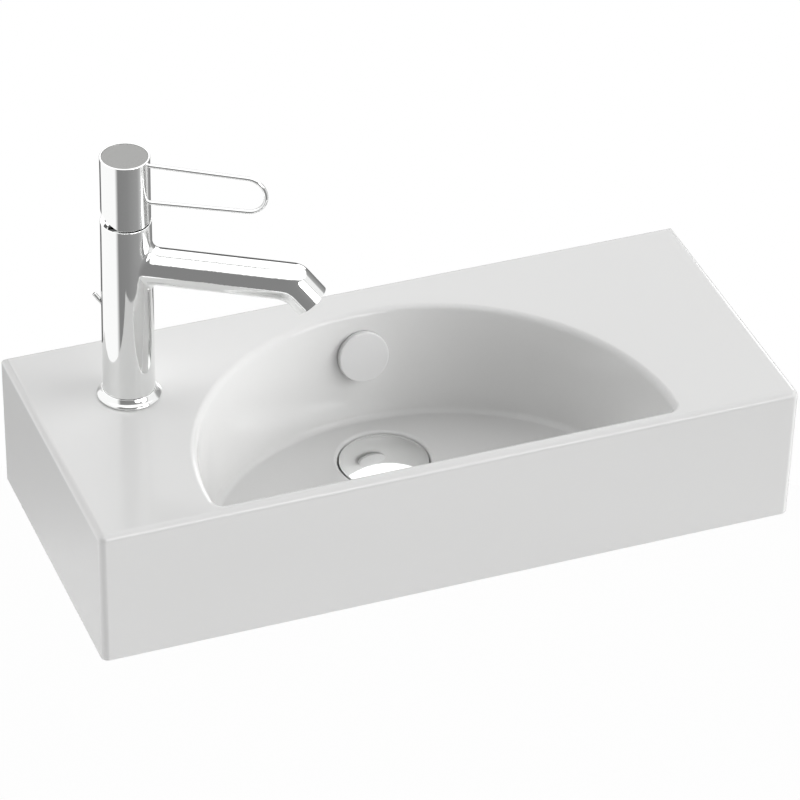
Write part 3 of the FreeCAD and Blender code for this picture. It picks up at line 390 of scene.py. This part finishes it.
class BASIN_OT_overflow_cover(bpy.types.Operator):
    """Turn the overflow's round cover with its spigot"""
    bl_idname = "basin.overflow_cover"
    bl_label = "Overflow cover"

    def execute(self, context):
        sizes = context.scene.basin_ceramic
        edge, spigot_radius, spigot_end = 0.001, 0.005, -0.008
        back, front = sizes.cover_gap, sizes.cover_gap + sizes.cover_thickness
        outline = [(POLE, spigot_end), (spigot_radius, spigot_end), (spigot_radius, back)]
        outline += rounding(edge / 2, sizes.cover_radius - edge / 2, back + edge / 2, -90, 0, 4)
        outline += rounding(edge, sizes.cover_radius - edge, front - edge, 0, 90)
        outline += [(sizes.cover_radius / 2, front), (POLE, front)]
        piece = turned_piece("overflow_disc", outline)
        place(piece, sizes.cover_place, tilt=math.radians(90) - sizes.cover_lean)
        even_shading(piece, 40)
        finish_piece(piece, "overflow_cover", "white_plastic")
        return {"FINISHED"}


class BASIN_OT_plug(bpy.types.Operator):
    """Turn the domed metal plug of the waste"""
    bl_idname = "basin.plug"
    bl_label = "Waste plug"

    def execute(self, context):
        sizes = context.scene.basin_waste
        middle, foot, _, radius = node_middle("plug_cap")
        edge = sizes.rim_height / 3
        rim = foot + sizes.rim_height
        inner = radius - sizes.dome_wall
        outline = [(inner, foot), (radius, foot), (radius, rim - edge)]
        outline += rounding(edge, radius - edge, rim - edge, 0, 80, 4)
        outline += dome(radius, rim, sizes.dome_rise)[1:]
        under = dome(inner, foot + sizes.rim_height / 2, sizes.dome_rise - sizes.rim_height / 2)
        outline += under[::-1] + [(inner, foot)]
        piece = turned_piece("domed_plug", outline)
        place(piece, middle)
        even_shading(piece, 40)
        finish_piece(piece, "plug_cap", "chrome")
        return {"FINISHED"}


class BASIN_OT_base_ring(bpy.types.Operator):
    """Turn the flared ring round the mixer's foot"""
    bl_idname = "basin.base_ring"
    bl_label = "Base ring"

    def execute(self, context):
        sizes = context.scene.basin_mixer
        middle, foot, top, radius = node_middle("base_ring")
        shoulder, start = sizes.ring_shoulder, foot + sizes.ring_foot
        wall, edge, fine_edge, hollowing = 0.00055, 0.0004, 0.0002, 1.25
        bore = shoulder - wall
        outline = [(bore, foot), (radius - edge, foot), (radius, foot + edge), (radius, start - fine_edge)]
        for share in (0.1, 0.25, 0.4, 0.55, 0.7, 0.85, 1):
            outline.append((shoulder + (radius - shoulder) * (1 - share) ** hollowing,
                            start + (top - fine_edge - start) * share))
        outline += [(shoulder - fine_edge, top), (bore, top), (bore, foot)]
        piece = turned_piece("flared_ring", outline)
        place(piece, middle)
        even_shading(piece, 30)
        finish_piece(piece, "base_ring", "chrome")
        return {"FINISHED"}


class BASIN_OT_head_cap(bpy.types.Operator):
    """Turn the disc let into the top of the mixer's head"""
    bl_idname = "basin.head_cap"
    bl_label = "Head cap"

    def execute(self, context):
        middle, foot, top, radius = node_middle("head_cap")
        edge, dish = 0.00025, 0.00005
        outline = [(POLE, foot), (radius, foot)]
        outline += rounding(edge, radius - edge, top - edge, 0, 90, 4)
        outline += [(radius * 0.7, top - 0.4 * dish), (radius * 0.35, top - 0.8 * dish), (POLE, top - dish)]
        piece = turned_piece("head_disc", outline)
        place(piece, middle)
        even_shading(piece, 40)
        finish_piece(piece, "head_cap", "satin")
        return {"FINISHED"}


class BASIN_OT_mixer_body(bpy.types.Operator):
    """Finish the mixer's body and spout"""
    bl_idname = "basin.mixer_body"
    bl_label = "Mixer body"

    def execute(self, context):
        piece = smooth_copy("tap_body", "mixer_body_and_spout")
        even_shading(piece, 35, flats=False)
        finish_piece(piece, "tap_body", "chrome")
        return {"FINISHED"}


class BASIN_OT_handle(bpy.types.Operator):
    """Finish the mixer's head and wire loop"""
    bl_idname = "basin.handle"
    bl_label = "Mixer handle"

    def execute(self, context):
        for node, name in (("handle_head", "mixer_head"), ("loop_handle", "wire_loop")):
            piece = smooth_copy(node, name)
            even_shading(piece, 35)
            finish_piece(piece, node, "chrome")
        return {"FINISHED"}


class BASIN_OT_other_pieces(bpy.types.Operator):
    """Give every piece that keeps its own mesh its finish"""
    bl_idname = "basin.other_pieces"
    bl_label = "Other pieces"

    def execute(self, context):
        slots = {part["node"]: part["material_slot"] for part in frame["record"]["subparts"]}
        for node, piece in frame["nodes"].items():
            material = material_for(slots[node])
            if piece.material_slots:
                for material_slot in piece.material_slots:
                    material_slot.material = material
            else:
                piece.data.materials.append(material)
        return {"FINISHED"}


class BASIN_OT_studio(bpy.types.Operator):
    """Set up the floor, the light, the world and the camera"""
    bl_idname = "basin.studio"
    bl_label = "Studio"

    def execute(self, context):
        studio = context.scene.basin_studio
        context.scene.view_settings.view_transform = "Standard"
        floor_sheet(studio.floor_drop)
        studio_world(studio.light)
        camera_at_photo()
        return {"FINISHED"}


def floor_sheet(drop):
    """A pale round floor that nearly melts into the white for the camera and keeps the basin's shadow."""
    deselect()
    bpy.ops.mesh.primitive_circle_add(vertices=96, radius=1.1, fill_type="NGON", location=(0, -0.1, -drop))
    floor = bpy.context.active_object
    floor.name = "studio_floor"
    material = bpy.data.materials.new("studio floor")
    material.use_nodes = True
    nodes, links = material.node_tree.nodes, material.node_tree.links
    shader = nodes["Principled BSDF"]
    shader.inputs["Base Color"].default_value = (0.8, 0.8, 0.8, 1)
    shader.inputs["Roughness"].default_value = 0.9
    shader.inputs["Specular IOR Level"].default_value = 0.0
    glow = nodes.new("ShaderNodeEmission")
    glow.inputs["Strength"].default_value = 1.02
    path = nodes.new("ShaderNodeLightPath")
    mix = nodes.new("ShaderNodeMixShader")
    links.new(node_maths(nodes, links, "MULTIPLY", path.outputs["Is Camera Ray"], 0.9), mix.inputs["Fac"])
    links.new(shader.outputs[0], mix.inputs[1])
    links.new(glow.outputs[0], mix.inputs[2])
    links.new(mix.outputs[0], nodes["Material Output"].inputs["Surface"])
    floor.data.materials.append(material)


CAMERA_PLACE = (-0.9654, -2.5697, 1.8906)
CAMERA_TURN = (54.754, -0.964, -20.759)    # degrees
CAMERA_LENS = 212.6                        # millimetres, on a 36 mm sensor
CAMERA_SIDE = Vector((-0.3655, -0.9308, 0.0))
CAMERA_RIGHT = Vector((0.9308, -0.3655, 0.0))

# What polished metal mirrors at eye level, by angle round the basin from the camera's side, to the right:
# soft boxes on the left and in a strip on the right, and the dim room between them.
MIRRORED_ROUND = ((-180, 0.12), (-141, 0.16), (-133, 1.1), (-44, 1.1), (-30, 0.25), (10, 0.27), (60, 0.36),
                  (74, 0.52), (80, 1.0), (112, 1.0), (120, 0.42), (180, 0.12))
CEILING, CEILING_EDGE = 1.5, (0.43, 0.51)  # its tone, and the height at which it starts and is full
CEILING_LEAN = -0.249                      # how far that edge drops towards the back
GROUND, GROUND_EDGE = 1.35, (-36.2, -39)   # its tone, and the angles at which it starts and is full

# Bright panes that the glaze and the metal mirror, by angle round, angle above the horizon and strength,
# and the half angles of a pane's outer edge and of its even middle.
BRIGHT_PANES = ((38, 21, 6.0), (60, 21, 6.0), (162, 9, 4.0))
PANE_EDGE, PANE_MIDDLE = 13, 8

# The soft light on the pieces: angle round the basin as above, angle above the horizon, and strength.
SOFT_LIGHT = ((90, 22, 3.9), (45, 22, 1.85), (-90, 22, 1.1), (180, 22, 0.75), (135, 22, 0.3),
              (-90, -12, 2.4), (180, -12, 1.65), (90, -12, 0.4), (135, -12, 0.3), (0, -12, 0.95),
              (45, -12, 0.2), (90, -50, 0.35), (0, -50, 0.65), (-120, 52, 1.8), (180, 52, 0.65))
SOFT_EDGE, SOFT_MIDDLE = 34, 8


def lit_patch(nodes, links, where, angle_round, up, edge, full, strength, total):
    """Add a soft-edged round patch of light at a direction to a total."""
    turned, raised = math.radians(angle_round), math.radians(up)
    way = CAMERA_SIDE * math.cos(turned) + CAMERA_RIGHT * math.sin(turned)
    toward = nodes.new("ShaderNodeVectorMath")
    toward.operation = "DOT_PRODUCT"
    toward.inputs[1].default_value = way * math.cos(raised) + Vector((0, 0, math.sin(raised)))
    links.new(where, toward.inputs[0])
    patch = soft_step(nodes, links, toward.outputs["Value"], math.cos(math.radians(edge)),
                      math.cos(math.radians(full)))
    return node_maths(nodes, links, "MULTIPLY_ADD", patch, strength, total)


def studio_world(light):
    """White to the camera, soft light on the pieces, and a room of boxes and panes for them to mirror."""
    world = bpy.data.worlds.new("studio")
    bpy.context.scene.world = world
    world.use_nodes = True
    nodes, links = world.node_tree.nodes, world.node_tree.links
    where = nodes.new("ShaderNodeTexCoord").outputs["Generated"]
    shares = []
    for axis in (CAMERA_RIGHT, CAMERA_SIDE):
        along = nodes.new("ShaderNodeVectorMath")
        along.operation = "DOT_PRODUCT"
        along.inputs[1].default_value = axis
        links.new(where, along.inputs[0])
        shares.append(along.outputs["Value"])
    angle = node_maths(nodes, links, "ARCTAN2", *shares)
    turn = node_maths(nodes, links, "MULTIPLY_ADD", angle, 1 / (2 * math.pi), 0.5)
    ramp = nodes.new("ShaderNodeValToRGB")
    links.new(turn, ramp.inputs["Fac"])
    stops = ramp.color_ramp.elements
    while len(stops) < len(MIRRORED_ROUND):
        stops.new(0.5)
    for stop, (degrees, tone) in zip(stops, MIRRORED_ROUND):
        stop.position = degrees / 360 + 0.5
        stop.color = (tone, tone, tone, 1)
    height = nodes.new("ShaderNodeSeparateXYZ")
    links.new(where, height.inputs[0])
    rise = height.outputs["Z"]
    leaning = node_maths(nodes, links, "MULTIPLY_ADD", shares[1], CEILING_LEAN, rise)
    above = soft_step(nodes, links, leaning, *CEILING_EDGE)
    below = soft_step(nodes, links, rise, *(math.sin(math.radians(angle)) for angle in GROUND_EDGE))
    room = mixed(nodes, links, above, ramp.outputs["Color"], CEILING)
    room = mixed(nodes, links, below, room, GROUND)
    total = 0.0
    for angle_round, up, strength in SOFT_LIGHT:
        total = lit_patch(nodes, links, where, angle_round, up, SOFT_EDGE, SOFT_MIDDLE, strength * light,
                          total)
    bright = 0.0
    for angle_round, up, strength in BRIGHT_PANES:
        bright = lit_patch(nodes, links, where, angle_round, up, PANE_EDGE, PANE_MIDDLE, strength, bright)
    room = mixed(nodes, links, node_maths(nodes, links, "MINIMUM", bright, 1.0), room, bright)
    path = nodes.new("ShaderNodeLightPath").outputs
    seen = mixed(nodes, links, path["Is Glossy Ray"], total, room)
    clear = node_maths(nodes, links, "MAXIMUM", path["Is Camera Ray"], path["Is Transmission Ray"])
    seen = mixed(nodes, links, clear, seen, 1.0)
    links.new(seen, nodes["Background"].inputs["Color"])


def camera_at_photo():
    deselect()
    turn = [math.radians(angle) for angle in CAMERA_TURN]
    bpy.ops.object.camera_add(location=CAMERA_PLACE, rotation=turn)
    camera = bpy.context.active_object
    camera.name = "photo_camera"
    camera.data.sensor_width = 36
    camera.data.lens = CAMERA_LENS
    bpy.context.scene.camera = camera


# ---- panel and registration ----
STEPS = ("ceramic", "overflow_cover", "plug", "mixer_body", "base_ring", "handle", "head_cap", "other_pieces",
         "studio")


class BASIN_PT_panel(bpy.types.Panel):
    bl_label = "Wall hung basin"
    bl_idname = "BASIN_PT_panel"
    bl_space_type = "VIEW_3D"
    bl_region_type = "UI"
    bl_category = "Basin"

    def draw(self, context):
        scene = context.scene
        for settings in (scene.basin_ceramic, scene.basin_waste, scene.basin_mixer, scene.basin_studio):
            box = self.layout.box()
            for name in settings.__annotations__:
                box.prop(settings, name)
        for step in STEPS:
            self.layout.operator("basin." + step)


CLASSES = (CeramicSettings, WasteSettings, MixerSettings, StudioSettings, BASIN_OT_ceramic,
           BASIN_OT_overflow_cover, BASIN_OT_plug, BASIN_OT_mixer_body, BASIN_OT_base_ring,
           BASIN_OT_handle, BASIN_OT_head_cap, BASIN_OT_other_pieces, BASIN_OT_studio, BASIN_PT_panel)


def register():
    for item in CLASSES:
        bpy.utils.register_class(item)
    bpy.types.Scene.basin_ceramic = bpy.props.PointerProperty(type=CeramicSettings)
    bpy.types.Scene.basin_waste = bpy.props.PointerProperty(type=WasteSettings)
    bpy.types.Scene.basin_mixer = bpy.props.PointerProperty(type=MixerSettings)
    bpy.types.Scene.basin_studio = bpy.props.PointerProperty(type=StudioSettings)


def unregister():
    del bpy.types.Scene.basin_studio
    del bpy.types.Scene.basin_mixer
    del bpy.types.Scene.basin_waste
    del bpy.types.Scene.basin_ceramic
    for item in reversed(CLASSES):
        bpy.utils.unregister_class(item)


def main():
    register()
    for step in STEPS:
        getattr(bpy.ops.basin, step)()
    deselect()


if __name__ == "__main__":
    main()
